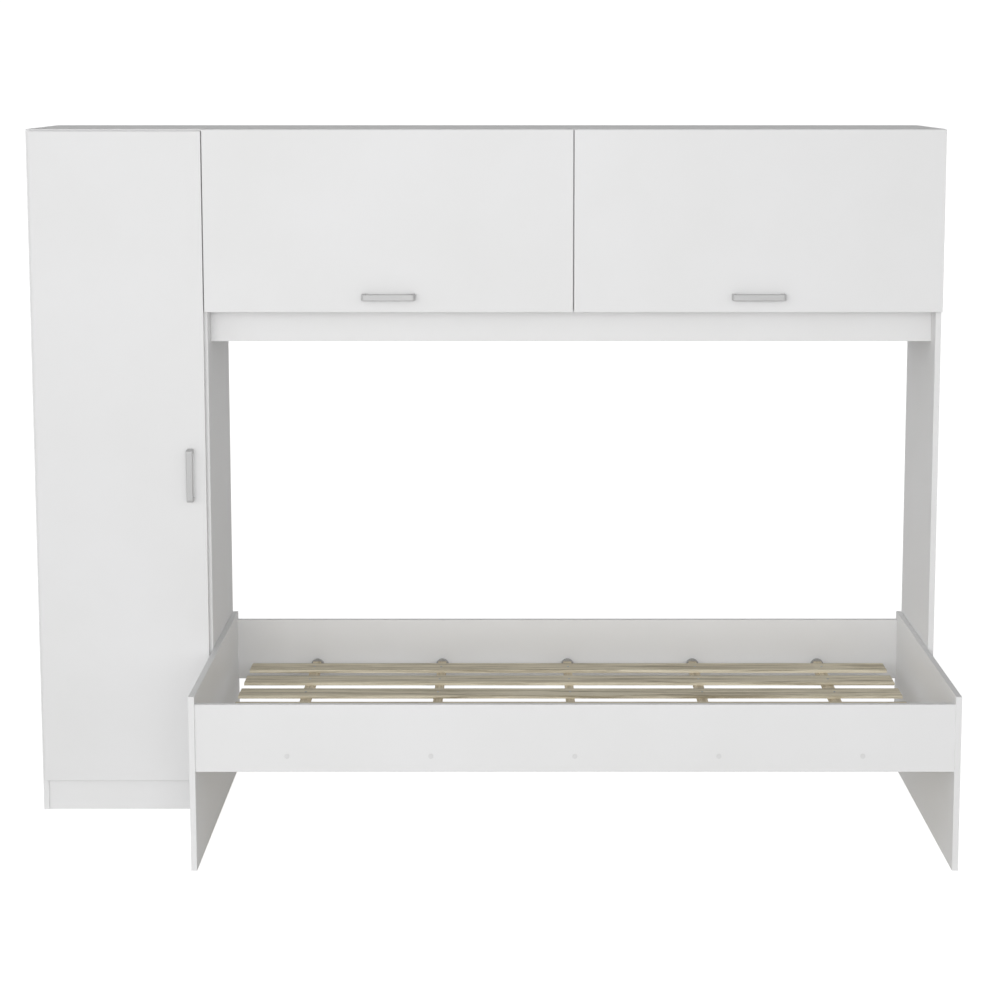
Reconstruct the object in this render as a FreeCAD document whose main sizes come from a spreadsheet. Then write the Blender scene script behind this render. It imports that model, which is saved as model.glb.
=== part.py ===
# A single bed that stands under a bridge of flap cabinets, beside a one-door wardrobe.
# Melamine boards joined with cam locks, a slatted base on cross battens, concealed hinges and gas struts.
# Millimetres. X runs along the bed, Y from the front to the back, Z up from the floor.
import FreeCAD, Part
import Sketcher
import math
import os
import re

doc = FreeCAD.newDocument("single_bed")

# Driving sizes, one row each
SIZES = [
    ("board", 16.0),
    ("back_board", 3.0),
    ("board_arris", 0.8),
    ("mattress_length", 2000.0),
    ("mattress_width", 900.0),
    ("length_play", 4.0),
    ("width_play", 8.0),
    ("bed_end_height", 475.0),
    ("rail_underside", 270.0),
    ("rail_height", 183.0),
    ("rail_setback", 5.0),
    ("batten_width", 24.0),
    ("batten_height", 28.0),
    ("batten_axis_height", 313.0),
    ("batten_inset", 190.0),
    ("socket_diameter", 40.0),
    ("socket_base", 4.0),
    ("socket_depth", 14.0),
    ("socket_play", 0.2),
    ("slat_width", 78.0),
    ("slat_thickness", 9.0),
    ("slat_end_gap", 52.0),
    ("slat_side_gap", 67.5),
    ("slat_arris", 1.5),
    ("screw_play", 0.2),
    ("batten_screw_diameter", 5.0),
    ("batten_screw_length", 52.0),
    ("batten_screw_head", 10.0),
    ("batten_screw_head_height", 3.0),
    ("cap_diameter", 14.0),
    ("cap_height", 1.6),
    ("unit_height", 1948.0),
    ("side_depth", 445.0),
    ("wardrobe_inner_width", 463.0),
    ("plinth_height", 90.0),
    ("plinth_setback", 5.0),
    ("hat_space", 296.0),
    ("shelf_setback", 20.0),
    ("pin_diameter", 5.0),
    ("pin_depth", 8.0),
    ("pin_reach", 10.0),
    ("pin_inset", 60.0),
    ("rail_tube_height", 30.0),
    ("rail_tube_width", 15.0),
    ("rail_tube_wall", 1.0),
    ("rail_tube_drop", 55.0),
    ("rail_socket_wall", 3.0),
    ("rail_socket_depth", 12.0),
    ("rail_socket_base", 2.5),
    ("apron_height", 91.0),
    ("apron_setback", 64.0),
    ("door_gap", 2.0),
    ("door_overlay", 6.5),
    ("door_top_reveal", 5.5),
    ("door_bottom_reveal", 2.0),
    ("front_gap", 3.0),
    ("flap_height", 507.0),
    ("flap_top_reveal", 1.0),
    ("handle_length", 150.0),
    ("handle_width", 18.0),
    ("handle_reach", 27.0),
    ("handle_bar", 7.0),
    ("handle_leg", 12.0),
    ("handle_round", 8.0),
    ("handle_soften", 1.5),
    ("handle_edge_distance", 43.0),
    ("door_handle_height", 980.0),
    ("cup_diameter", 35.0),
    ("cup_depth", 11.0),
    ("cup_slot_length", 24.0),
    ("cup_slot_width", 11.0),
    ("cup_slot_depth", 9.0),
    ("cup_edge_distance", 22.5),
    ("cup_flange", 1.0),
    ("cup_flange_diameter", 38.0),
    ("cup_wing_length", 60.0),
    ("cup_wing_width", 16.0),
    ("cup_play", 0.1),
    ("arm_width", 14.0),
    ("arm_length", 60.0),
    ("arm_thickness", 8.0),
    ("arm_nose", 11.0),
    ("arm_nose_gap", 0.3),
    ("plate_thickness", 3.0),
    ("plate_length", 34.0),
    ("plate_height", 46.0),
    ("plate_centre", 37.0),
    ("plate_foot_height", 22.0),
    ("plate_wing_width", 16.0),
    ("arm_slot_length", 14.0),
    ("arm_slot_width", 6.0),
    ("arm_slot_depth", 3.0),
    ("arm_slot_end", 4.0),
    ("door_hinge_end", 110.0),
    ("flap_hinge_end", 120.0),
    ("flap_travel_degrees", 85.0),
    ("strut_side_setback", 113.0),
    ("strut_side_drop", 307.0),
    ("strut_flap_drop", 70.0),
    ("strut_flap_standoff", 24.0),
    ("strut_wall_distance", 13.0),
    ("strut_tube_diameter", 16.0),
    ("strut_rod_diameter", 8.0),
    ("strut_rod_play", 0.3),
    ("strut_eye_diameter", 14.0),
    ("strut_eye_width", 10.0),
    ("strut_tube_end_gap", 20.0),
    ("strut_rod_spare", 30.0),
    ("strut_bore_floor", 24.0),
    ("stud_diameter", 8.0),
    ("stud_play", 0.05),
    ("stud_overrun", 1.0),
    ("bracket_thickness", 3.0),
    ("bracket_width", 26.0),
    ("bracket_height", 36.0),
    ("bracket_gap", 0.4),
    ("bracket_margin", 8.0),
    ("cam_diameter", 15.0),
    ("cam_height", 12.0),
    ("cam_distance", 34.0),
    ("cam_inset", 45.0),
    ("cam_play", 0.1),
    ("cam_bolt_diameter", 6.0),
    ("cam_bolt_seat", 11.0),
    ("wall_hole_diameter", 6.0),
    ("wall_hole_spacing", 1600.0),
]

# How many of each repeating piece there are
BATTENS = 5
SLATS = 6
DOOR_HINGES = 4
FLAP_HINGES = 3

# How many flat sides stand for round on small pieces that repeat
FINE_COUNT = 18
MEDIUM_COUNT = 10
CAM_COUNT = 8
COARSE_COUNT = 6

# Places and lengths worked out from the driving sizes
PLACES = [
    ("bed_inner_length", "mattress_length + length_play"),
    ("bed_length", "bed_inner_length + 2 * board"),
    ("bed_inner_width", "mattress_width + width_play"),
    ("bed_depth", "bed_inner_width + 2 * board + 2 * rail_setback"),
    ("unit_width", "3 * board + wardrobe_inner_width + bed_length"),
    ("left_x", "-unit_width / 2"),
    ("wardrobe_x", "left_x + board"),
    ("centre_x", "wardrobe_x + wardrobe_inner_width"),
    ("bed_x", "centre_x + board"),
    ("bed_inner_x", "bed_x + board"),
    ("bed_inner_end_x", "bed_inner_x + bed_inner_length"),
    ("right_x", "bed_x + bed_length"),
    ("right_end_x", "right_x + board"),
    ("bed_middle_x", "bed_inner_x + bed_inner_length / 2"),
    ("bed_front_y", "-bed_depth / 2"),
    ("back_y", "bed_depth / 2"),
    ("front_rail_y", "bed_front_y + rail_setback"),
    ("front_rail_inner_y", "front_rail_y + board"),
    ("back_rail_inner_y", "front_rail_inner_y + bed_inner_width"),
    ("back_rail_outer_y", "back_rail_inner_y + board"),
    ("carcass_back_y", "back_y - back_board"),
    ("side_front_y", "carcass_back_y - side_depth"),
    ("door_back_y", "side_front_y - door_gap"),
    ("door_front_y", "door_back_y - board"),
    ("top_z", "unit_height - board"),
    ("flap_top_z", "unit_height - flap_top_reveal"),
    ("flap_z", "flap_top_z - flap_height"),
    ("cabinet_floor_z", "flap_z + board"),
    ("cabinet_height", "top_z - cabinet_floor_z"),
    ("flap_left_x", "bed_x - door_overlay"),
    ("flap_length", "(right_end_x - flap_left_x - front_gap) / 2"),
    ("flap_right_x", "flap_left_x + flap_length + front_gap"),
    ("divider_x", "flap_right_x - front_gap / 2 - board / 2"),
    ("door_x", "wardrobe_x - door_overlay"),
    ("door_width", "wardrobe_inner_width + 2 * door_overlay"),
    ("door_z", "plinth_height + door_bottom_reveal"),
    ("door_height", "unit_height - door_top_reveal - door_z"),
    ("batten_length", "bed_inner_width - 2 * socket_base"),
    ("batten_z", "batten_axis_height - batten_height / 2"),
    ("slat_z", "batten_z + batten_height"),
    ("slat_x", "bed_inner_x + slat_end_gap"),
    ("slat_length", "bed_inner_length - 2 * slat_end_gap"),
    ("slat_pitch", "(bed_inner_width - 2 * slat_side_gap - slat_width) / %d" % (SLATS - 1)),
    ("batten_pitch", "(slat_length - 2 * batten_inset) / %d" % (BATTENS - 1)),
    ("shelf_depth", "side_depth - shelf_setback"),
    ("hat_shelf_z", "top_z - hat_space - board"),
    ("rail_tube_y", "side_front_y + side_depth / 2"),
    ("rail_tube_z", "hat_shelf_z - rail_tube_drop"),
    ("rail_y", "carcass_back_y - board"),
    ("apron_y", "side_front_y + apron_setback"),
    ("apron_z", "flap_z - apron_height"),
    ("strut_side_y", "side_front_y + strut_side_setback"),
    ("strut_side_z", "flap_top_z - strut_side_drop"),
    ("strut_flap_y", "door_back_y + strut_flap_standoff"),
    ("strut_flap_z", "flap_top_z - strut_flap_drop"),
    ("strut_length", "sqrt((strut_flap_y - strut_side_y)^2 + (strut_flap_z - strut_side_z)^2)"),
    ("strut_tube_top", "strut_length - strut_tube_end_gap"),
    ("strut_rod_start", "strut_bore_floor + strut_rod_spare"),
    ("stud_hole_diameter", "(stud_diameter + 2 * stud_play) / %.6f" % math.cos(math.pi / MEDIUM_COUNT)),
]

SHEETS = {"Sizes": SIZES, "Places": PLACES}
OWNER = {name: sheet for sheet, rows in SHEETS.items() for name, _ in rows}


def bind(text):
    """Name the sheet of every size and place in a formula."""
    return re.sub(r"[a-z]\w+\b(?!\()", lambda word: OWNER[word.group(0)] + "." + word.group(0), text)


sizes = doc.addObject("Spreadsheet::Sheet", "Sizes")
for row, (name, value) in enumerate(SIZES, start=1):
    sizes.set("A%d" % row, name)
    sizes.set("B%d" % row, str(value))
    sizes.setAlias("B%d" % row, name)

places = doc.addObject("Spreadsheet::Sheet", "Places")
for row, (name, formula) in enumerate(PLACES, start=1):
    places.set("A%d" % row, name)
    places.setAlias("B%d" % row, name)
    places.set("B%d" % row, "=" + bind(formula))
doc.recompute()


def size(name):
    """The number that a sheet holds under a name."""
    return float(doc.getObject(OWNER[name]).get(name))


nodes = {}


def keep(label, piece):
    """Hand a finished piece over under its own label."""
    piece.Label = label
    nodes[label] = piece
    return piece


def seat(piece, corner, rotation=None):
    """Bind a piece's place, with a fixed turn where it has one."""
    if rotation is not None:
        piece.Placement = FreeCAD.Placement(FreeCAD.Vector(), rotation)
    for axis, formula in zip("xyz", corner):
        if formula != "0":
            piece.setExpression("Placement.Base." + axis, bind(formula))
    return piece


ORIGIN = ("0", "0", "0")
AXES = {
    "X": FreeCAD.Vector(1, 0, 0),
    "Y": FreeCAD.Vector(0, 1, 0),
    "Z": FreeCAD.Vector(0, 0, 1),
    "-X": FreeCAD.Vector(-1, 0, 0),
    "-Y": FreeCAD.Vector(0, -1, 0),
    "-Z": FreeCAD.Vector(0, 0, -1),
}


def round_bar(name, start, axis, diameter, length, sides=0):
    """A bar from a start point along one axis: round, or with flat sides where many small ones repeat."""
    bar = doc.addObject("Part::Prism" if sides else "Part::Cylinder", name)
    if sides:
        bar.Polygon = sides
    bar.setExpression("Circumradius" if sides else "Radius", bind("(%s) / 2" % diameter))
    bar.setExpression("Height", bind(length))
    return seat(bar, start, FreeCAD.Rotation(AXES["Z"], AXES[axis]))


def block(name, corner, lengths):
    """A plain box from its lowest corner."""
    box = doc.addObject("Part::Box", name)
    for side, formula in zip(("Length", "Width", "Height"), lengths):
        box.setExpression(side, bind(formula))
    return seat(box, corner)


def joined(name, pieces):
    """One solid out of several that meet."""
    fuse = doc.addObject("Part::MultiFuse", name)
    fuse.Shapes = pieces
    fuse.Refine = True
    return fuse


def gathered(name, pieces):
    """Separate solids kept together."""
    group = doc.addObject("Part::Compound", name)
    group.Links = pieces
    return group


def less(name, base, tools):
    """A solid with its holes and recesses cut."""
    cut = doc.addObject("Part::Cut", name)
    cut.Base = base
    cut.Tool = tools[0] if len(tools) == 1 else gathered(name + "_holes", tools)
    return cut


def copy_of(master, name, place, rotation=None):
    """One more of a piece that is already modelled."""
    link = doc.addObject("App::Link", name)
    link.LinkedObject = master
    link.LinkTransform = True
    return seat(link, place, rotation)


def origin_plane(body, role):
    """A body's own origin plane."""
    return next(plane for plane in body.Origin.OriginFeatures if plane.Role == role)


def outline(body, name, role, points):
    """A closed outline of straight sides whose corners are bound to the sheets."""
    sketch = body.newObject("Sketcher::SketchObject", name)
    sketch.AttachmentSupport = (origin_plane(body, role), "")
    sketch.MapMode = "FlatFace"
    rough = [FreeCAD.Vector(math.cos(turn), math.sin(turn), 0)
             for turn in (2 * math.pi * index / len(points) for index in range(len(points)))]
    for index, corner in enumerate(rough):
        sketch.addGeometry(Part.LineSegment(corner, rough[(index + 1) % len(rough)]), False)
    for index in range(len(points)):
        sketch.addConstraint(Sketcher.Constraint("Coincident", index, 2, (index + 1) % len(points), 1))
    for index, corner in enumerate(points):
        for kind, axis, formula in zip(("DistanceX", "DistanceY"), (-2, -1), corner):
            if formula == "0":
                sketch.addConstraint(Sketcher.Constraint("PointOnObject", index, 1, axis))
                continue
            number = sketch.addConstraint(Sketcher.Constraint(kind, -1, 1, index, 1, 1.0))
            sketch.setExpression("Constraints[%d]" % number, bind(formula))
    return sketch


def padded(body, name, sketch, length):
    """An outline given its thickness."""
    pad = body.newObject("PartDesign::Pad", name)
    pad.Profile = sketch
    pad.setExpression("Length", bind(length))
    return pad


FACES = {"left": (0, 0), "right": (0, 1), "front": (1, 0), "back": (1, 1), "bottom": (2, 0), "top": (2, 1)}


def face_edges(shape, faces):
    """The names of the edges that run round the given faces of a box."""
    box = shape.BoundBox
    low = (box.XMin, box.YMin, box.ZMin)
    high = (box.XMax, box.YMax, box.ZMax)
    found = []
    for index, edge in enumerate(shape.Edges, start=1):
        for face in faces:
            axis, end = FACES[face]
            level = (low, high)[end][axis]
            if all(abs(vertex.Point[axis] - level) < 1e-6 for vertex in edge.Vertexes):
                found.append("Edge%d" % index)
                break
    return found


def board(name, corner, lengths, eased=(), ease="board_arris"):
    """A cut board with the arrises of its banded faces eased."""
    body = doc.addObject("PartDesign::Body", name)
    long, deep, high = lengths
    plan = outline(body, name + "_plan", "XY_Plane", [("0", "0"), (long, "0"), (long, deep), ("0", deep)])
    pad = padded(body, name + "_thickness", plan, high)
    seat(body, corner)
    if eased:
        doc.recompute()
        arris = body.newObject("PartDesign::Chamfer", name + "_arris")
        arris.Base = (pad, face_edges(pad.Shape, eased))
        arris.setExpression("Size", bind(ease))
    return body


# Holes for each board are collected here and cut once every fitting is placed
boards = {}
holes = {}


def piece(label, corner, lengths, eased=(), ease="board_arris"):
    """A board that fittings may be drilled into."""
    boards[label] = board(label + "_blank", corner, lengths, eased, ease)
    holes[label] = []


# Full-height sides: the wardrobe's left one, the shared centre one and the bridge's right one
SIDES = (("wardrobe_left_side", "left_x"), ("centre_side", "centre_x"), ("bridge_right_side", "right_x"))
for label, x in SIDES:
    piece(label, (x, "side_front_y", "0"), ("board", "side_depth", "unit_height"), ("front", "top"))

# Wardrobe boards between the left and centre sides
for label, z in (("wardrobe_top", "top_z"), ("wardrobe_bottom", "plinth_height")):
    piece(label, ("wardrobe_x", "side_front_y", z),
          ("wardrobe_inner_width", "side_depth", "board"), ("front",))
piece("wardrobe_plinth", ("wardrobe_x", "side_front_y + plinth_setback", "0"),
      ("wardrobe_inner_width", "board", "plinth_height"))
piece("wardrobe_hat_shelf", ("wardrobe_x", "side_front_y + shelf_setback", "hat_shelf_z"),
      ("wardrobe_inner_width", "shelf_depth", "board"), ("front",))

# Bridge boards between the centre and right sides
for label, z in (("bridge_top", "top_z"), ("bridge_bottom", "flap_z")):
    piece(label, ("bed_x", "side_front_y", z), ("bed_length", "side_depth", "board"), ("front",))
piece("bridge_divider", ("divider_x", "side_front_y", "cabinet_floor_z"),
      ("board", "side_depth", "cabinet_height"), ("front",))
for label, y in (("bridge_apron", "apron_y"), ("bridge_rear_rail", "rail_y")):
    piece(label, ("bed_x", y, "apron_z"), ("bed_length", "board", "apron_height"), ("front",))

# Thin backs nailed on behind
BACKS = (("wardrobe_back", "left_x", "wardrobe_inner_width", "plinth_height"),
         ("bridge_back", "centre_x + board / 2", "bed_length", "flap_z"))
for label, x, clear_width, z in BACKS:
    keep(label, board(label + "_sheet", (x, "carcass_back_y", z),
                      (clear_width + " + 1.5 * board", "back_board", "unit_height - " + z)))

# Bed ends and rails
for label, x in (("bed_left_end", "bed_x"), ("bed_right_end", "bed_inner_end_x")):
    piece(label, (x, "bed_front_y", "0"), ("board", "bed_depth", "bed_end_height"), ("front", "top", "back"))
for label, y in (("bed_front_rail", "front_rail_y"), ("bed_back_rail", "back_rail_inner_y")):
    piece(label, ("bed_inner_x", y, "rail_underside"),
          ("bed_inner_length", "board", "rail_height"), ("top", "bottom"))

# Cross battens in round sockets, screwed through the rails, and the slats that lie on them
batten_places = ["bed_middle_x + %g * batten_pitch" % (index - (BATTENS - 1) / 2) for index in range(BATTENS)]
slat_places = ["%g * slat_pitch" % (index - (SLATS - 1) / 2) for index in range(SLATS)]
for index, x in enumerate(batten_places, start=1):
    piece("cross_batten_%d" % index,
          (x + " - batten_width / 2", "front_rail_inner_y + socket_base", "batten_z"),
          ("batten_width", "batten_length", "batten_height"))
for index, y in enumerate(slat_places, start=1):
    piece("slat_%d" % index, ("slat_x", y + " - slat_width / 2", "slat_z"),
          ("slat_length", "slat_width", "slat_thickness"), ("top",), "slat_arris")

socket_blank = round_bar("socket_blank", ORIGIN, "Y", "socket_diameter", "socket_depth", FINE_COUNT)
socket_pocket = block("socket_pocket", ("-batten_width / 2 - socket_play", "socket_base",
                                        "-batten_height / 2 - socket_play"),
                      ("batten_width + 2 * socket_play", "socket_depth", "batten_height + 2 * socket_play"))
socket_hole = round_bar("socket_hole", ORIGIN, "Y", "batten_screw_diameter + 2 * screw_play",
                        "socket_depth", COARSE_COUNT)
socket = less("socket", socket_blank, [socket_pocket, socket_hole])


def batten_screw_shape(name, play):
    """A screw along Y with its head's outer face at the origin, or the hole that it needs."""
    head = round_bar(name + "_head", ORIGIN, "Y", "batten_screw_head + 2 * " + play,
                     "batten_screw_head_height", COARSE_COUNT)
    shank = round_bar(name + "_shank", ORIGIN, "Y", "batten_screw_diameter + 2 * " + play,
                      "batten_screw_length + " + play, COARSE_COUNT)
    return joined(name, [head, shank])


batten_screw = batten_screw_shape("batten_screw", "0")
batten_screw_hole = batten_screw_shape("batten_screw_hole", "screw_play")
cap = round_bar("cap", ORIGIN, "-Y", "cap_diameter", "cap_height", MEDIUM_COUNT)

TURNED = FreeCAD.Rotation(AXES["Z"], 180)
RAIL_ENDS = (
    ("bed_front_rail", "front_rail_y", "front_rail_inner_y", FreeCAD.Rotation()),
    ("bed_back_rail", "back_rail_outer_y", "back_rail_inner_y", TURNED),
)
sockets, batten_screws, caps = [], [], []
for rail, outer_y, inner_y, turn in RAIL_ENDS:
    for index, x in enumerate(batten_places, start=1):
        tag = "_%s_%d" % (rail, index)
        sockets.append(copy_of(socket, "socket" + tag, (x, inner_y, "batten_axis_height"), turn))
        outer = (x, outer_y, "batten_axis_height")
        batten_screws.append(copy_of(batten_screw, "batten_screw" + tag, outer, turn))
        caps.append(copy_of(cap, "cap" + tag, outer, turn))
        hole = copy_of(batten_screw_hole, "batten_screw_hole" + tag, outer, turn)
        holes[rail].append(hole)
        holes["cross_batten_%d" % index].append(hole)
keep("batten_sockets", gathered("batten_sockets", sockets))
keep("batten_screws", gathered("batten_screws", batten_screws))
keep("screw_caps", gathered("screw_caps", caps))

# Cam locks in the ends of the boards, each drawing on a bolt that is screwed into the side
FRONT_CAM = "side_front_y + cam_inset"
BACK_CAM = "carcass_back_y - cam_inset"
JOINED_ENDS = [
    ("wardrobe_top", "wardrobe_left_side", "centre_side", "wardrobe_x", "centre_x", "top_z", "Z"),
    ("wardrobe_bottom", "wardrobe_left_side", "centre_side", "wardrobe_x", "centre_x", "plinth_height", "Z"),
    ("bridge_top", "centre_side", "bridge_right_side", "bed_x", "right_x", "top_z", "Z"),
    ("bridge_bottom", "centre_side", "bridge_right_side", "bed_x", "right_x", "flap_z", "Z"),
]
joints = []
for label, left, right, left_face, right_face, under, axis in JOINED_ENDS:
    for y in (FRONT_CAM, BACK_CAM):
        joints.append((label, left, left_face, "X", (y, under + " + board / 2"), (y, under), axis))
        joints.append((label, right, right_face, "-X", (y, under + " + board / 2"), (y, under), axis))
RAIL_FACES = (("bed_front_rail", "front_rail_y"), ("bed_back_rail", "back_rail_inner_y"))
BED_ENDS = (("bed_left_end", "bed_inner_x", "X"), ("bed_right_end", "bed_inner_end_x", "-X"))
for label, near_y in RAIL_FACES:
    for z in ("rail_underside + cam_inset", "rail_underside + rail_height - cam_inset"):
        for side, face, way in BED_ENDS:
            middle_y = near_y + " + board / 2"
            far_y = near_y + " + board"
            joints.append((label, side, face, way, (middle_y, z), (far_y, z), "-Y"))
BRIDGE_ENDS = (("centre_side", "bed_x", "X"), ("bridge_right_side", "right_x", "-X"))
middle_z = "apron_z + apron_height / 2"
for label, near_y in (("bridge_apron", "apron_y"), ("bridge_rear_rail", "rail_y")):
    for side, face, way in BRIDGE_ENDS:
        middle_y = near_y + " + board / 2"
        far_y = near_y + " + board"
        joints.append((label, side, face, way, (middle_y, middle_z), (far_y, middle_z), "-Y"))

cam_locks, cam_bolts = [], []
for number, (label, side, face, way, (bolt_y, bolt_z), (cam_y, cam_z), axis) in enumerate(joints, start=1):
    sign = "-" if way.startswith("-") else "+"
    away = "+" if sign == "-" else "-"
    cam_x = "%s %s cam_distance" % (face, sign)
    bolt_x = "%s %s cam_bolt_seat" % (face, away)
    bolt_length = "cam_bolt_seat + cam_distance - cam_diameter / 2"
    cam_place = (cam_x, cam_y, cam_z)
    bolt_place = (bolt_x, bolt_y, bolt_z)
    cam_locks.append(round_bar("cam_%d" % number, cam_place, axis, "cam_diameter", "cam_height", CAM_COUNT))
    cam_bolts.append(round_bar("cam_bolt_%d" % number, bolt_place, way, "cam_bolt_diameter", bolt_length,
                               COARSE_COUNT))
    cam_hole = round_bar("cam_hole_%d" % number, cam_place, axis, "cam_diameter + 2 * cam_play",
                         "cam_height + cam_play", CAM_COUNT)
    bolt_hole = round_bar("cam_bolt_hole_%d" % number, bolt_place, way, "cam_bolt_diameter + 2 * cam_play",
                          bolt_length + " + cam_play", COARSE_COUNT)
    holes[label] += [cam_hole, bolt_hole]
    holes[side].append(bolt_hole)
keep("cam_locks", gathered("cam_locks", cam_locks))
keep("cam_bolts", gathered("cam_bolts", cam_bolts))

# Two holes in the rear rail take screws into the wall
for index, way in enumerate(("-", "+")):
    place = ("bed_middle_x %s wall_hole_spacing / 2" % way, "rail_y", "apron_z + apron_height / 2")
    holes["bridge_rear_rail"].append(
        round_bar("wall_hole_%d" % index, place, "Y", "wall_hole_diameter", "board"))

# Shelf pins and the oval hanging rail in its two sockets
pin = round_bar("shelf_pin", ORIGIN, "X", "pin_diameter", "pin_depth + pin_reach", MEDIUM_COUNT)
pins = []
SHELF_ENDS = (("wardrobe_left_side", "wardrobe_x - pin_depth"), ("centre_side", "centre_x - pin_reach"))
for side, x in SHELF_ENDS:
    for index, y in enumerate(("side_front_y + shelf_setback + pin_inset", "carcass_back_y - pin_inset")):
        place = (x, y, "hat_shelf_z - pin_diameter / 2")
        pins.append(copy_of(pin, "pin_%s_%d" % (side, index), place))
        holes[side].append(round_bar("pin_hole_%s_%d" % (side, index), place, "X",
                                     "pin_diameter + 2 * screw_play", "pin_depth + pin_reach", MEDIUM_COUNT))
keep("shelf_pins", gathered("shelf_pins", pins))


def oval_bar(name, grow, length, corner):
    """An upright oval section along X, grown all round, from one end."""
    half = "(rail_tube_height - rail_tube_width) / 2"
    middle = block(name + "_middle", ("0", "-rail_tube_width / 2 - (%s)" % grow, "-" + half),
                   (length, "rail_tube_width + 2 * (%s)" % grow, "2 * " + half))
    ends = [round_bar(name + end, ("0", "0", sign + half), "X", "rail_tube_width + 2 * (%s)" % grow, length,
                      FINE_COUNT) for end, sign in (("_low", "-"), ("_high", ""))]
    return seat(joined(name, [middle] + ends), corner)


tube_centre = ("rail_tube_y", "rail_tube_z")
tube_length = "wardrobe_inner_width - 2 * rail_socket_base"
tube_start = ("wardrobe_x + rail_socket_base",) + tube_centre
keep("hanging_rail", less("hanging_rail", oval_bar("rail_outside", "0", tube_length, tube_start),
                          [oval_bar("rail_inside", "-rail_tube_wall", tube_length, tube_start)]))
rail_sockets = []
for end, x, pocket_x in (("left", "wardrobe_x", "wardrobe_x + rail_socket_base"),
                         ("right", "centre_x - rail_socket_depth", "centre_x - rail_socket_depth")):
    shell = oval_bar("rail_socket_%s_shell" % end, "rail_socket_wall", "rail_socket_depth",
                     (x,) + tube_centre)
    pocket = oval_bar("rail_socket_%s_pocket" % end, "socket_play", "rail_socket_depth - rail_socket_base",
                      (pocket_x,) + tube_centre)
    rail_sockets.append(less("rail_socket_" + end, shell, [pocket]))
keep("hanging_rail_sockets", gathered("hanging_rail_sockets", rail_sockets))

# Wardrobe door and the two flaps
piece("wardrobe_door", ("door_x", "door_front_y", "door_z"), ("door_width", "board", "door_height"),
      ("front", "back"))
for label, x in (("left_flap", "flap_left_x"), ("right_flap", "flap_right_x")):
    piece(label, (x, "door_front_y", "flap_z"), ("flap_length", "board", "flap_height"), ("front", "back"))

# Bow handle: one flat bar bent back to a leg at each end, drawn lying along X with its back at the origin
handle = doc.addObject("PartDesign::Body", "handle")
bow = outline(handle, "handle_bow", "XY_Plane", [
    ("0", "0"), ("handle_leg", "0"), ("handle_leg", "handle_bar - handle_reach"),
    ("handle_length - handle_leg", "handle_bar - handle_reach"), ("handle_length - handle_leg", "0"),
    ("handle_length", "0"), ("handle_length", "-handle_reach"), ("0", "-handle_reach")])
bow_pad = padded(handle, "handle_width", bow, "handle_width")
doc.recompute()


def upright_edges(shape, level):
    """The names of the edges along Z that stand at one depth."""
    return ["Edge%d" % index for index, edge in enumerate(shape.Edges, start=1)
            if all(abs(vertex.Point.y - level) < 1e-6 for vertex in edge.Vertexes)
            and abs(edge.BoundBox.ZLength - edge.Length) < 1e-6]


bends = handle.newObject("PartDesign::Fillet", "handle_bends")
bends.Base = (bow_pad, upright_edges(bow_pad.Shape, -size("handle_reach")))
bends.setExpression("Radius", bind("handle_round"))
doc.recompute()
soften = handle.newObject("PartDesign::Chamfer", "handle_soften")
front_edges = [index for index, edge in enumerate(bends.Shape.Edges, start=1)
               if edge.BoundBox.ZLength < 1e-6 and edge.BoundBox.YMin < -size("handle_reach") + 1e-6]
soften.Base = (bends, ["Edge%d" % index for index in front_edges])
soften.setExpression("Size", bind("handle_soften"))
UPRIGHT = FreeCAD.Rotation(AXES["Y"], -90)
for label, x in (("left_flap_handle", "flap_left_x"), ("right_flap_handle", "flap_right_x")):
    keep(label, copy_of(handle, label, (x + " + flap_length / 2 - handle_length / 2", "door_front_y",
                                        "flap_z + handle_edge_distance - handle_width / 2")))
keep("wardrobe_door_handle", copy_of(handle, "wardrobe_door_handle", (
    "door_x + door_width - handle_edge_distance + handle_width / 2", "door_front_y",
    "door_handle_height - handle_length / 2"), UPRIGHT))

# Concealed hinge, cup half: its axis along Y, its flange on the back of the door at the origin
cup_body = round_bar("cup_body", ORIGIN, "-Y", "cup_diameter - 2 * cup_play", "cup_depth", FINE_COUNT)
cup_ring = round_bar("cup_ring", ORIGIN, "Y", "cup_flange_diameter", "cup_flange", FINE_COUNT)
cup_wing = block("cup_wing", ("-cup_wing_width / 2", "0", "-cup_wing_length / 2"),
                 ("cup_wing_width", "cup_flange", "cup_wing_length"))
cup_slot = block("cup_slot", ("-cup_slot_length / 2", "-cup_slot_depth", "-cup_slot_width / 2"),
                 ("cup_slot_length", "cup_slot_depth + cup_flange", "cup_slot_width"))
cup = less("cup", joined("cup_outside", [cup_body, cup_ring, cup_wing]), [cup_slot])
cup_hole = round_bar("cup_hole", ORIGIN, "-Y", "cup_diameter", "cup_depth + cup_play", FINE_COUNT)


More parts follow.
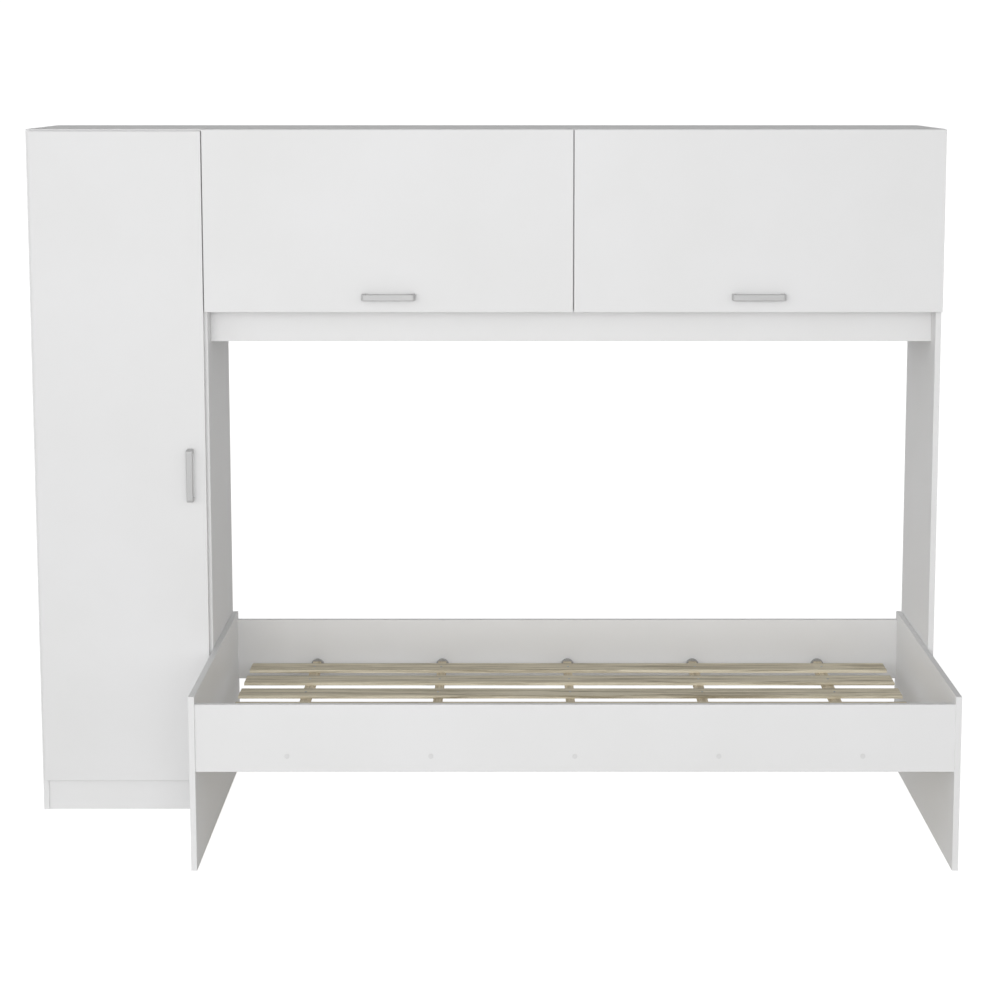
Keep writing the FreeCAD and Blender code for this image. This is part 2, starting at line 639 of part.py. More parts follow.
def hinge_arm(name, cup_reach):
    """Concealed hinge, arm half: X away from the carcass board, Y into the carcass, Z along the hinge."""
    arm = doc.addObject("PartDesign::Body", name + "_arm")
    top = "plate_thickness + arm_thickness"
    crank = "plate_centre - plate_length / 2"
    tip = "cup_flange - door_gap + arm_nose_gap"
    side = outline(arm, name + "_side", "XY_Plane", [
        ("plate_thickness", "arm_length"), ("plate_thickness", crank),
        (cup_reach + " - arm_nose / 2", "0.5 * (%s)" % crank), (cup_reach + " - arm_nose / 2", tip),
        (cup_reach + " + arm_nose / 2", tip), (cup_reach + " + arm_nose / 2", "0.5 * (%s)" % crank),
        (top, "plate_centre"), (top, "arm_length")])
    padded(arm, name + "_pad", side, "arm_width")
    seat(arm, ("0", "0", "-arm_width / 2"))
    foot = block(name + "_foot", ("0", crank, "-plate_foot_height / 2"),
                 ("plate_thickness", "plate_length", "plate_foot_height"))
    wings = block(name + "_wings", ("0", "plate_centre - plate_wing_width / 2", "-plate_height / 2"),
                  ("plate_thickness", "plate_wing_width", "plate_height"))
    slot_start = "arm_length - arm_slot_end - arm_slot_length"
    slot = block(name + "_slot", (top + " - arm_slot_depth", slot_start, "-arm_slot_width / 2"),
                 ("arm_slot_depth", "arm_slot_length", "arm_slot_width"))
    return less(name, joined(name + "_solid", [arm, foot, wings]), [slot])


door_arm = hinge_arm("door_hinge_arm", "(cup_edge_distance - door_overlay)")
flap_arm = hinge_arm("flap_hinge_arm", "(cup_edge_distance - board + flap_top_reveal)")
OVERHEAD = FreeCAD.Rotation(AXES["Y"], 90)
door_cups, door_arms = [], []
for index in range(DOOR_HINGES):
    z = "door_z + door_hinge_end + %g * (door_height - 2 * door_hinge_end)" % (index / (DOOR_HINGES - 1))
    place = ("door_x + cup_edge_distance", "door_back_y", z)
    door_cups.append(copy_of(cup, "door_cup_%d" % index, place))
    holes["wardrobe_door"].append(copy_of(cup_hole, "door_cup_hole_%d" % index, place))
    door_arms.append(copy_of(door_arm, "door_arm_%d" % index, ("wardrobe_x", "side_front_y", z)))
keep("wardrobe_hinge_cups", gathered("wardrobe_hinge_cups", door_cups))
keep("wardrobe_hinge_arms", gathered("wardrobe_hinge_arms", door_arms))
for flap, x in (("left_flap", "flap_left_x"), ("right_flap", "flap_right_x")):
    flap_cups, flap_arms = [], []
    for index in range(FLAP_HINGES):
        share = index / (FLAP_HINGES - 1)
        along = "%s + flap_hinge_end + %g * (flap_length - 2 * flap_hinge_end)" % (x, share)
        place = (along, "door_back_y", "flap_top_z - cup_edge_distance")
        flap_cups.append(copy_of(cup, "%s_cup_%d" % (flap, index), place, OVERHEAD))
        holes[flap].append(copy_of(cup_hole, "%s_cup_hole_%d" % (flap, index), place, OVERHEAD))
        flap_arms.append(copy_of(flap_arm, "%s_arm_%d" % (flap, index), (along, "side_front_y", "top_z"),
                                 OVERHEAD))
    keep(flap + "_hinge_cups", gathered(flap + "_hinge_cups", flap_cups))
    keep(flap + "_hinge_arms", gathered(flap + "_hinge_arms", flap_arms))

# Gas struts: one at each end of each cabinet, leaning from a stud on the board to a stud on the flap
lean_y = size("strut_flap_y") - size("strut_side_y")
lean_z = size("strut_flap_z") - size("strut_side_z")
LEAN = FreeCAD.Rotation(AXES["Z"], FreeCAD.Vector(0, lean_y, lean_z))
across = ("-strut_eye_width / 2", "0", "0")
tube = round_bar("strut_tube", ("0", "0", "strut_eye_diameter"), "Z", "strut_tube_diameter",
                 "strut_tube_top - strut_eye_diameter", FINE_COUNT)
tube_eye = round_bar("strut_tube_eye", across, "X", "strut_eye_diameter", "strut_eye_width", FINE_COUNT)
tube_neck = round_bar("strut_tube_neck", ORIGIN, "Z", "strut_rod_diameter", "strut_bore_floor", MEDIUM_COUNT)
tube_bore = round_bar("strut_tube_bore", ("0", "0", "strut_bore_floor"), "Z",
                      "strut_rod_diameter + 2 * strut_rod_play", "strut_tube_top", MEDIUM_COUNT)
stud_hole = round_bar("strut_stud_hole", across, "X", "stud_hole_diameter", "strut_eye_width", MEDIUM_COUNT)
cylinder = less("strut_cylinder", joined("strut_cylinder_outside", [tube, tube_eye, tube_neck]),
                [tube_bore, stud_hole])
rod_bar = round_bar("strut_rod_bar", ("0", "0", "strut_rod_start"), "Z", "strut_rod_diameter",
                    "strut_length - strut_rod_start", MEDIUM_COUNT)
rod_eye = round_bar("strut_rod_eye", ("-strut_eye_width / 2", "0", "strut_length"), "X", "strut_eye_diameter",
                    "strut_eye_width", FINE_COUNT)
rod = joined("strut_rod", [rod_bar, rod_eye])

# Side bracket: a plate on the board, X away from it, with the stud that the cylinder turns on
side_plate = block("side_bracket_plate", ("0", "-bracket_width / 2", "-bracket_height / 2"),
                   ("bracket_thickness", "bracket_width", "bracket_height"))
side_stud = round_bar("side_bracket_stud", ORIGIN, "X", "stud_diameter",
                      "strut_wall_distance + strut_eye_width / 2 + stud_overrun", MEDIUM_COUNT)
side_bracket = joined("side_bracket", [side_plate, side_stud])

# Flap bracket: a foot on the flap and a cheek beside the rod's eye, with X away from the eye
cheek_depth = "strut_flap_standoff + bracket_margin"
cheek = block("flap_bracket_cheek", ("0", "-strut_flap_standoff", "-bracket_height / 2"),
              ("bracket_thickness", cheek_depth, "bracket_height"))
foot = block("flap_bracket_foot", ("0", "-strut_flap_standoff", "-bracket_height / 2"),
             ("bracket_width", "bracket_thickness", "bracket_height"))
flap_bracket = joined("flap_bracket", [cheek, foot])

OPPOSITE = FreeCAD.Rotation(AXES["Y"], 180)
CABINETS = (("left", "bed_x", "divider_x"), ("right", "divider_x + board", "right_x"))
side_brackets = []
for cabinet, low_face, high_face in CABINETS:
    cylinders, rods, flap_brackets = [], [], []
    for end, face, sign, turn in (("low", low_face, "+", None), ("high", high_face, "-", OPPOSITE)):
        tag = "_%s_%s" % (cabinet, end)
        strut_x = "%s %s strut_wall_distance" % (face, sign)
        pivot = (strut_x, "strut_side_y", "strut_side_z")
        cylinders.append(copy_of(cylinder, "cylinder" + tag, pivot, LEAN))
        rods.append(copy_of(rod, "rod" + tag, pivot, LEAN))
        side_brackets.append(copy_of(side_bracket, "side_bracket" + tag,
                                     (face, "strut_side_y", "strut_side_z"), turn))
        cheek_x = "%s %s (strut_eye_width / 2 + bracket_gap)" % (strut_x, sign)
        flap_brackets.append(copy_of(flap_bracket, "flap_bracket" + tag,
                                     (cheek_x, "strut_flap_y", "strut_flap_z"), turn))
    keep(cabinet + "_strut_cylinders", gathered(cabinet + "_strut_cylinders", cylinders))
    keep(cabinet + "_strut_rods", gathered(cabinet + "_strut_rods", rods))
    keep(cabinet + "_flap_strut_brackets", gathered(cabinet + "_flap_strut_brackets", flap_brackets))
keep("strut_side_brackets", gathered("strut_side_brackets", side_brackets))

# Every board with its holes
for label, blank in boards.items():
    keep(label, less(label, blank, holes[label]) if holes[label] else blank)

doc.recompute()
for item in doc.Objects:
    if "Invalid" in item.State or "Error" in item.State:
        raise RuntimeError("%s did not build: %s" % (item.Label, item.State))
shapes = {label: Part.getShape(item) for label, item in nodes.items()}
for label, shape in shapes.items():
    if shape.isNull() or not shape.isValid():
        raise RuntimeError(label + " has no valid shape")

os.makedirs("parts", exist_ok=True)
for label, shape in shapes.items():
    shape.exportStep("parts/%s.step" % label)

# Where the flap's stud and the strut stand with the flap up, which the motion is taken from
travel = math.radians(size("flap_travel_degrees"))
arm_y = size("strut_flap_y") - size("door_front_y")
arm_z = size("strut_flap_z") - size("flap_top_z")
open_y = size("door_front_y") + arm_y * math.cos(travel) + arm_z * math.sin(travel) - size("strut_side_y")
open_z = size("flap_top_z") - arm_y * math.sin(travel) + arm_z * math.cos(travel) - size("strut_side_z")
open_length = math.hypot(open_y, open_z)
turn = math.atan2(open_z, open_y) - math.atan2(lean_z, lean_y)
print("strut closed %.3f open %.3f" % (size("strut_length"), open_length))
print("strut turn %.4f degrees" % math.degrees(turn))
print("nodes", len(nodes), "solids", sum(len(shape.Solids) for shape in shapes.values()))
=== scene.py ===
# A single bed under a bridge of flap cabinets, joined to a one-door wardrobe, dressed for the studio.
# Metres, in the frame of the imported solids: X along the bed, Y to the wall, Z up.
import math
import bmesh
import bpy
from mathutils import Matrix, Vector


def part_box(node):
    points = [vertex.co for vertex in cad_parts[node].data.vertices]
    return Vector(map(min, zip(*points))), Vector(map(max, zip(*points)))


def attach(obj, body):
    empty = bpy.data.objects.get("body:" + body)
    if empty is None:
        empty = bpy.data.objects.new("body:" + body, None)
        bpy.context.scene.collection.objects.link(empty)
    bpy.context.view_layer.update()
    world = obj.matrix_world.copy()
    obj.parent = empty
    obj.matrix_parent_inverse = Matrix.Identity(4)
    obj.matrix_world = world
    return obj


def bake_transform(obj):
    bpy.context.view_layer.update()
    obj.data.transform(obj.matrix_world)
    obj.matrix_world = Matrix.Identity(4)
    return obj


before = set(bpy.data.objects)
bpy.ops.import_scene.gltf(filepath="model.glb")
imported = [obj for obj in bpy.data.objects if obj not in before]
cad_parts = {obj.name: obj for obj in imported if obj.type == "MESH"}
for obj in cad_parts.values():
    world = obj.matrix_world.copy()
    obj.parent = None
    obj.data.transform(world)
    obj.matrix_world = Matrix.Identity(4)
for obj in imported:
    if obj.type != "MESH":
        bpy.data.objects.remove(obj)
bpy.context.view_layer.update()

# Carcass boards: the full-height sides, tops, bottoms, divider, shelf, plinth, apron and rear rail.
# They are chipboard with a white melamine face, pressed against a finely grained plate,
# so the face is a little pearly and never quite mirror-flat. Cam locks draw them together.


def effect_group(name, *inputs):
    """A node group with its own inputs that is to put out a colour, a roughness and a height."""
    group = bpy.data.node_groups.new(name, "ShaderNodeTree")
    for label, kind, value in inputs:
        socket = group.interface.new_socket(label, in_out="INPUT", socket_type="NodeSocket" + kind)
        socket.default_value = value
    for label, kind in (("Colour", "Color"), ("Roughness", "Float"), ("Height", "Float")):
        group.interface.new_socket(label, in_out="OUTPUT", socket_type="NodeSocket" + kind)
    given = group.nodes.new("NodeGroupInput").outputs
    place = group.nodes.new("ShaderNodeTexCoord").outputs["Object"]
    return group, given, place


def put_out(group, colour, roughness, height):
    """Joins what a group has made to its outputs."""
    result = group.nodes.new("NodeGroupOutput")
    for label, made in (("Colour", colour), ("Roughness", roughness), ("Height", height)):
        group.links.new(made, result.inputs[label])


def noise(tree, vector, scale, detail, roughness=0.5, distortion=0.0):
    """The value of a noise texture; its scale is a number or a socket."""
    texture = tree.nodes.new("ShaderNodeTexNoise")
    texture.inputs["Detail"].default_value = detail
    texture.inputs["Roughness"].default_value = roughness
    texture.inputs["Distortion"].default_value = distortion
    tree.links.new(vector, texture.inputs["Vector"])
    if isinstance(scale, float):
        texture.inputs["Scale"].default_value = scale
    else:
        tree.links.new(scale, texture.inputs["Scale"])
    return texture.outputs["Fac"]


def spread(tree, value, span, wanted):
    """A value stretched from its span to the wanted one and held at the ends."""
    stretch = tree.nodes.new("ShaderNodeMapRange")
    for label, end in zip(("From Min", "From Max", "To Min", "To Max"), span + wanted):
        stretch.inputs[label].default_value = end
    tree.links.new(value, stretch.inputs["Value"])
    return stretch.outputs["Result"]


def blend_colours(tree, factor, first, second):
    """Two colours mixed by a factor."""
    mixer = tree.nodes.new("ShaderNodeMix")
    mixer.data_type = "RGBA"
    tree.links.new(factor, mixer.inputs["Factor"])
    tree.links.new(first, mixer.inputs["A"])
    tree.links.new(second, mixer.inputs["B"])
    return mixer.outputs["Result"]


NOISE_SPAN = (0.3, 0.7)
WHOLE = (0.0, 1.0)
CLOUD_SCALE = 2.2
PRESSED_ROUGHNESS = (0.36, 0.50)
pressed_face, given, place = effect_group(
    "pressed_face",
    ("Light", "Color", (0.8, 0.8, 0.8, 1)),
    ("Dark", "Color", (0.7, 0.7, 0.7, 1)),
    ("Pore Scale", "Float", 700.0))
cloud = noise(pressed_face, place, CLOUD_SCALE, detail=3.0)
pore = noise(pressed_face, place, given["Pore Scale"], detail=2.0, roughness=0.6)
tone = spread(pressed_face, cloud, NOISE_SPAN, WHOLE)
put_out(pressed_face,
        blend_colours(pressed_face, tone, given["Light"], given["Dark"]),
        spread(pressed_face, pore, NOISE_SPAN, PRESSED_ROUGHNESS),
        pore)


def surface(name, effect, values, bump, distance, **shader_values):
    """A material whose colour, roughness and height come from an effect group."""
    material = bpy.data.materials.new(name)
    material.use_nodes = True
    tree = material.node_tree
    shader = tree.nodes["Principled BSDF"]
    for label, value in shader_values.items():
        shader.inputs[label.replace("_", " ")].default_value = value
    made = tree.nodes.new("ShaderNodeGroup")
    made.node_tree = effect
    for label, value in values.items():
        made.inputs[label].default_value = value
    tree.links.new(made.outputs["Colour"], shader.inputs["Base Color"])
    tree.links.new(made.outputs["Roughness"], shader.inputs["Roughness"])
    relief = tree.nodes.new("ShaderNodeBump")
    relief.inputs["Strength"].default_value = bump
    relief.inputs["Distance"].default_value = distance
    tree.links.new(made.outputs["Height"], relief.inputs["Height"])
    tree.links.new(relief.outputs["Normal"], shader.inputs["Normal"])
    return material


def finish(material, *nodes):
    """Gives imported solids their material."""
    for node in nodes:
        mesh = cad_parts[node].data
        mesh.materials.clear()
        mesh.materials.append(material)


white_melamine = surface(
    "white_melamine", pressed_face,
    {"Light": (0.806, 0.806, 0.810, 1), "Dark": (0.782, 0.782, 0.780, 1), "Pore Scale": 700.0},
    bump=0.12, distance=0.0004, Specular_IOR_Level=0.4)
finish(white_melamine, "wardrobe_left_side", "centre_side", "bridge_right_side", "wardrobe_top",
       "wardrobe_bottom", "wardrobe_plinth", "wardrobe_hat_shelf", "bridge_top", "bridge_bottom",
       "bridge_divider", "bridge_apron", "bridge_rear_rail")

# Backs: thin hardboard sheets, lacquered white on the side that shows inside the cabinets.
# They are nailed to the rear edges of the carcass and square it up.
white_hardboard = surface(
    "white_hardboard", pressed_face,
    {"Light": (0.74, 0.74, 0.72, 1), "Dark": (0.69, 0.69, 0.67, 1), "Pore Scale": 320.0},
    bump=0.25, distance=0.0006, Specular_IOR_Level=0.3)
finish(white_hardboard, "wardrobe_back", "bridge_back")

# Cam locks and their bolts: zinc die-cast discs let into the boards, drawing on steel bolts in the
# sides. The zinc is dull and slightly grained from the die, and each disc is turned by its cross slot.
STAIN_SCALE = 60.0
CAST_ROUGHNESS = (0.28, 0.46)
cast_grain, given, place = effect_group(
    "cast_grain",
    ("Light", "Color", (0.6, 0.6, 0.6, 1)),
    ("Dark", "Color", (0.4, 0.4, 0.4, 1)),
    ("Grain Scale", "Float", 400.0))
grain = noise(cast_grain, place, given["Grain Scale"], detail=3.0, roughness=0.6)
stain = noise(cast_grain, place, STAIN_SCALE, detail=2.0)
tone = spread(cast_grain, stain, NOISE_SPAN, WHOLE)
put_out(cast_grain,
        blend_colours(cast_grain, tone, given["Light"], given["Dark"]),
        spread(cast_grain, grain, NOISE_SPAN, CAST_ROUGHNESS),
        grain)
zinc = surface(
    "zinc", cast_grain,
    {"Light": (0.62, 0.63, 0.64, 1), "Dark": (0.50, 0.51, 0.52, 1), "Grain Scale": 700.0},
    bump=0.10, distance=0.0002, Metallic=1.0)
finish(zinc, "cam_locks", "cam_bolts", "shelf_pins", "batten_screws")


def join_rows(form, lower, upper):
    """A band of faces between two closed rows of corners, counted the same way round."""
    for index in range(len(lower)):
        after = (index + 1) % len(lower)
        form.faces.new((lower[index], lower[after], upper[after], upper[index]))


def circle(radius, height, angles):
    """Corners on a level circle."""
    return [(radius * math.cos(angle), radius * math.sin(angle), height) for angle in angles]


def stacked_loops(form, place, way, loops):
    """Loops of corners stood on a place, pointing a given way, each joined to the next."""
    turn = Vector(way).to_track_quat("Z", "Y").to_matrix().to_4x4()
    stand = Matrix.Translation(place) @ turn
    rows = [[form.verts.new(stand @ Vector(corner)) for corner in loop] for loop in loops]
    for lower, upper in zip(rows, rows[1:]):
        join_rows(form, lower, upper)
    return rows


# Shares of a head's radius and rise.
SLOT_REACH = 0.62
SLOT_HALF_WIDTH = 0.15
SLOT_TAPER = 0.85
SLOT_FLOOR = 0.15
RIM_START = 0.5
RIM_EASE = 0.88


def cross_head(form, place, way, radius, rise):
    """A closed round head on a face: its foot, its eased rim, and the cross slot let into it."""
    arm = SLOT_REACH * radius
    half = SLOT_HALF_WIDTH * radius
    slot = [(arm, half), (half, half), (half, arm), (-half, arm), (-half, half), (-arm, half),
            (-arm, -half), (-half, -half), (-half, -arm), (half, -arm), (half, -half), (arm, -half)]
    angles = [math.radians(quarter + step) for quarter in (0, 90, 180, 270) for step in (15, 45, 75)]
    loops = [circle(radius, 0.0, angles),
             circle(radius, RIM_START * rise, angles),
             circle(RIM_EASE * radius, rise, angles),
             [(across, along, rise) for across, along in slot],
             [(SLOT_TAPER * across, SLOT_TAPER * along, SLOT_FLOOR * rise) for across, along in slot]]
    rows = stacked_loops(form, place, way, loops)
    form.faces.new(reversed(rows[0]))
    form.faces.new(rows[-1])


def made_piece(name, form, material, body=None):
    """A finished mesh as a piece with its slot's finish, riding on a body where one is named."""
    mesh = bpy.data.meshes.new(name)
    form.to_mesh(mesh)
    form.free()
    mesh.materials.append(material)
    piece = bpy.data.objects.new(name, mesh)
    bpy.context.collection.objects.link(piece)
    if body:
        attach(piece, body)
    return piece


CAM_FROM_END = 0.034
CAM_FROM_EDGE = 0.045
CAM_HEAD = (0.0072, 0.0006)
cam_faces = bmesh.new()
for node in ("wardrobe_top", "wardrobe_bottom", "bridge_top", "bridge_bottom"):
    low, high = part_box(node)
    for x in (low[0] + CAM_FROM_END, high[0] - CAM_FROM_END):
        for y in (low[1] + CAM_FROM_EDGE, high[1] - CAM_FROM_EDGE):
            cross_head(cam_faces, (x, y, low[2]), (0, 0, -1), *CAM_HEAD)
for node in ("bed_front_rail", "bed_back_rail"):
    low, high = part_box(node)
    for x in (low[0] + CAM_FROM_END, high[0] - CAM_FROM_END):
        for z in (low[2] + CAM_FROM_EDGE, high[2] - CAM_FROM_EDGE):
            cross_head(cam_faces, (x, high[1], z), (0, 1, 0), *CAM_HEAD)
for node in ("bridge_apron", "bridge_rear_rail"):
    low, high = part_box(node)
    for x in (low[0] + CAM_FROM_END, high[0] - CAM_FROM_END):
        cross_head(cam_faces, (x, high[1], (low[2] + high[2]) / 2), (0, 1, 0), *CAM_HEAD)
made_piece("cam_faces", cam_faces, zinc, "unit")

# Bed ends and rails: the same white board, the ends standing on the floor as legs.
# The rails stand a little back between the ends and are held by cam locks.
finish(white_melamine, "bed_left_end", "bed_right_end", "bed_front_rail", "bed_back_rail")

# Screw caps: small white plastic discs pressed over the batten screws on the outside of the rails.
# Moulded in one pull, with a soft satin skin.
white_plastic = surface(
    "white_plastic", cast_grain,
    {"Light": (0.72, 0.72, 0.72, 1), "Dark": (0.69, 0.69, 0.69, 1), "Grain Scale": 900.0},
    bump=0.06, distance=0.0002, Specular_IOR_Level=0.5)
finish(white_plastic, "screw_caps")

# Cross battens and slats: planed softwood, the grain running along each piece.
# The battens stand on edge in their sockets; the slats lie on them, screwed down at each crossing.


def stretched(tree, vector, amounts):
    """A vector multiplied part by part, to draw a pattern out along one way."""
    product = tree.nodes.new("ShaderNodeVectorMath")
    product.operation = "MULTIPLY"
    tree.links.new(vector, product.inputs[0])
    tree.links.new(amounts, product.inputs[1])
    return product.outputs["Vector"]


RING_SCALE = 2.4
RING_SPAN = (0.45, 0.64)
FIBRE_SCALE = 22.0
FIBRE_SPAN = (0.35, 0.65)
FIBRE_SHARE = 0.25
PLANED_ROUGHNESS = (0.55, 0.75)
plank_grain, given, place = effect_group(
    "plank_grain",
    ("Early", "Color", (0.5, 0.4, 0.3, 1)),
    ("Late", "Color", (0.4, 0.3, 0.2, 1)),
    ("Stretch", "Vector", (1.0, 20.0, 20.0)))
drawn_out = stretched(plank_grain, place, given["Stretch"])
ring = noise(plank_grain, drawn_out, RING_SCALE, detail=4.0, roughness=0.62, distortion=0.9)
fibre = noise(plank_grain, drawn_out, FIBRE_SCALE, detail=3.0, roughness=0.7)
both = plank_grain.nodes.new("ShaderNodeMix")
both.inputs["Factor"].default_value = FIBRE_SHARE
plank_grain.links.new(spread(plank_grain, ring, RING_SPAN, WHOLE), both.inputs["A"])
plank_grain.links.new(spread(plank_grain, fibre, FIBRE_SPAN, WHOLE), both.inputs["B"])
figure = both.outputs["Result"]
put_out(plank_grain,
        blend_colours(plank_grain, figure, given["Early"], given["Late"]),
        spread(plank_grain, fibre, NOISE_SPAN, PLANED_ROUGHNESS),
        figure)
slat_wood = surface(
    "slat_wood", plank_grain,
    {"Early": (0.91, 0.835, 0.66, 1), "Late": (0.37, 0.315, 0.215, 1), "Stretch": (1.1, 32.0, 32.0)},
    bump=0.35, distance=0.0008, Specular_IOR_Level=0.25)
batten_wood = surface(
    "batten_wood", plank_grain,
    {"Early": (0.82, 0.73, 0.56, 1), "Late": (0.56, 0.475, 0.335, 1), "Stretch": (26.0, 1.2, 26.0)},
    bump=0.35, distance=0.0008, Specular_IOR_Level=0.25)
battens = sorted(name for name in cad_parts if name.startswith("cross_batten_"))
slats = sorted(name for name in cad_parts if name.startswith("slat_"))
finish(batten_wood, *battens)
finish(slat_wood, *slats)

# Slat screws: one zinc-plated cross-head screw where each slat crosses each batten.
# They are driven down until the raised head just stands on the wood.
SLAT_SCREW_HEAD = (0.0036, 0.0009)
slat_screws = bmesh.new()
for slat in slats:
    slat_low, slat_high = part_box(slat)
    for batten in battens:
        batten_low, batten_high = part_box(batten)
        place = ((batten_low[0] + batten_high[0]) / 2, (slat_low[1] + slat_high[1]) / 2, slat_high[2])
        cross_head(slat_screws, place, (0, 0, 1), *SLAT_SCREW_HEAD)
made_piece("slat_screws", slat_screws, zinc, "unit")

# Batten sockets: grey moulded cups, held to the inner faces of the rails by the screw in the batten's
# end. A matt skin with a faint spark-eroded grain.
socket_plastic = surface(
    "socket_plastic", cast_grain,
    {"Light": (0.38, 0.378, 0.372, 1), "Dark": (0.33, 0.328, 0.322, 1), "Grain Scale": 1100.0},
    bump=0.20, distance=0.0003, Specular_IOR_Level=0.4)
finish(socket_plastic, "batten_sockets")

# Hanging rail: an oval steel tube across the wardrobe, in two grey plastic end sockets.
# The tube is drawn and satin-chromed, so its faint marks run along it.


def worked_out(tree, operation, first, second):
    """A sum or product of two values."""
    sum_node = tree.nodes.new("ShaderNodeMath")
    sum_node.operation = operation
    tree.links.new(first, sum_node.inputs[0])
    tree.links.new(second, sum_node.inputs[1])
    return sum_node.outputs["Value"]


LINE_SCALE = 4.0
UNEVEN_GLOSS = (-0.05, 0.08)
drawn_lines, given, place = effect_group(
    "drawn_lines",
    ("Light", "Color", (0.7, 0.7, 0.7, 1)),
    ("Dark", "Color", (0.6, 0.6, 0.6, 1)),
    ("Stretch", "Vector", (2.0, 400.0, 400.0)),
    ("Gloss", "Float", 0.2))
drawn_out = stretched(drawn_lines, place, given["Stretch"])
line = noise(drawn_lines, drawn_out, LINE_SCALE, detail=3.0, roughness=0.6)
shade = spread(drawn_lines, line, NOISE_SPAN, WHOLE)
uneven = spread(drawn_lines, line, NOISE_SPAN, UNEVEN_GLOSS)
put_out(drawn_lines,
        blend_colours(drawn_lines, shade, given["Light"], given["Dark"]),
        worked_out(drawn_lines, "ADD", uneven, given["Gloss"]),
        line)
chrome = surface(
    "chrome", drawn_lines,
    {"Light": (0.36, 0.363, 0.367, 1), "Dark": (0.30, 0.303, 0.306, 1),
     "Stretch": (2.0, 300.0, 300.0), "Gloss": 0.36},
    bump=0.03, distance=0.0001, Metallic=1.0)
grey_plastic = surface(
    "grey_plastic", cast_grain,
    {"Light": (0.42, 0.42, 0.43, 1), "Dark": (0.38, 0.38, 0.39, 1), "Grain Scale": 900.0},
    bump=0.10, distance=0.0002, Specular_IOR_Level=0.4)
finish(chrome, "hanging_rail")
finish(grey_plastic, "hanging_rail_sockets")

# Door and flaps: white melamine fronts with banded edges, bored on the back for the hinge cups.
# Small white buffers on the carcass edges take the knock where the free edges close.
finish(white_melamine, "wardrobe_door", "left_flap", "right_flap")


def turned_rings(form, place, way, rings, sides):
    """Rings of given radius and height about a line, each joined to the next."""
    angles = [math.tau * index / sides for index in range(sides)]
    return stacked_loops(form, place, way, [circle(radius, height, angles) for radius, height in rings])


BUFFER_RINGS = [(0.0030, 0.0), (0.0029, 0.0009), (0.0020, 0.0015)]
BUFFER_SIDES = 14
BUFFER_FROM_SIDE = 0.0034
BUFFER_FROM_DOOR_END = 0.040
BUFFER_FROM_FLAP_END = 0.060
buffers = bmesh.new()
side_low, side_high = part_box("centre_side")
door_low, door_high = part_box("wardrobe_door")
shelf_low, shelf_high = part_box("bridge_bottom")
buffer_places = []
for z in (door_low[2] + BUFFER_FROM_DOOR_END, door_high[2] - BUFFER_FROM_DOOR_END):
    buffer_places.append((side_low[0] + BUFFER_FROM_SIDE, side_low[1], z))
for flap in ("left_flap", "right_flap"):
    flap_low, flap_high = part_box(flap)
    for x in (flap_low[0] + BUFFER_FROM_FLAP_END, flap_high[0] - BUFFER_FROM_FLAP_END):
        buffer_places.append((x, shelf_low[1], (shelf_low[2] + shelf_high[2]) / 2))
for place in buffer_places:
    rows = turned_rings(buffers, place, (0, -1, 0), BUFFER_RINGS, BUFFER_SIDES)
    buffers.faces.new(reversed(rows[0]))
    buffers.faces.new(rows[-1])
made_piece("front_buffers", buffers, white_plastic, "unit")

# Bow handles: die-cast, ground along their length and lacquered a matt silver grey.
# Each is held from behind by two cross-head screws through the front.
satin_silver = surface(
    "satin_silver", drawn_lines,
    {"Light": (0.53, 0.53, 0.53, 1), "Dark": (0.48, 0.48, 0.48, 1),
     "Stretch": (3.0, 500.0, 500.0), "Gloss": 0.42},
    bump=0.08, distance=0.0002, Metallic=0.2)
satin_silver_upright = surface(
    "satin_silver_upright", drawn_lines,
    {"Light": (0.53, 0.53, 0.53, 1), "Dark": (0.48, 0.48, 0.48, 1),
     "Stretch": (500.0, 500.0, 3.0), "Gloss": 0.42},
    bump=0.08, distance=0.0002, Metallic=0.2)
finish(satin_silver, "left_flap_handle", "right_flap_handle")
finish(satin_silver_upright, "wardrobe_door_handle")
LEG_FROM_END = 0.006
HANDLE_SCREW_HEAD = (0.0042, 0.0018)
for front in ("wardrobe_door", "left_flap", "right_flap"):
    low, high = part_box(front + "_handle")
    inner_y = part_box(front)[1][1]
    along = 2 if front == "wardrobe_door" else 0
    handle_screws = bmesh.new()
    for level in (low[along] + LEG_FROM_END, high[along] - LEG_FROM_END):
        place = [(low[0] + high[0]) / 2, inner_y, (low[2] + high[2]) / 2]
        place[along] = level
        cross_head(handle_screws, place, (0, 1, 0), *HANDLE_SCREW_HEAD)
    made_piece(front + "_handle_screws", handle_screws, zinc, front)

# Concealed hinges: pressed and nickel-plated steel, the cups in the fronts and the arms on the carcass.
# A cup's two wings and an arm's plate are screwed down, two more screws on the arm set the front true,
# and a pair of links runs from the arm's nose into the cup of the closed front.
nickel = surface(
    "nickel", cast_grain,
    {"Light": (0.68, 0.66, 0.62, 1), "Dark": (0.58, 0.56, 0.53, 1), "Grain Scale": 500.0},
    bump=0.05, distance=0.0002, Metallic=1.0)
finish(nickel, *(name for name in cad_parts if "hinge" in name))

LINK_STEPS = 14
LINK_FROM_MIDDLE = 0.0030
LINK_SECTION = ((-0.0035, -0.0009), (-0.0035, 0.0009), (0.0035, 0.0009), (0.0035, -0.0009))
LINK_BEHIND_NOSE = 0.003
LINK_IN_CUP = 0.006


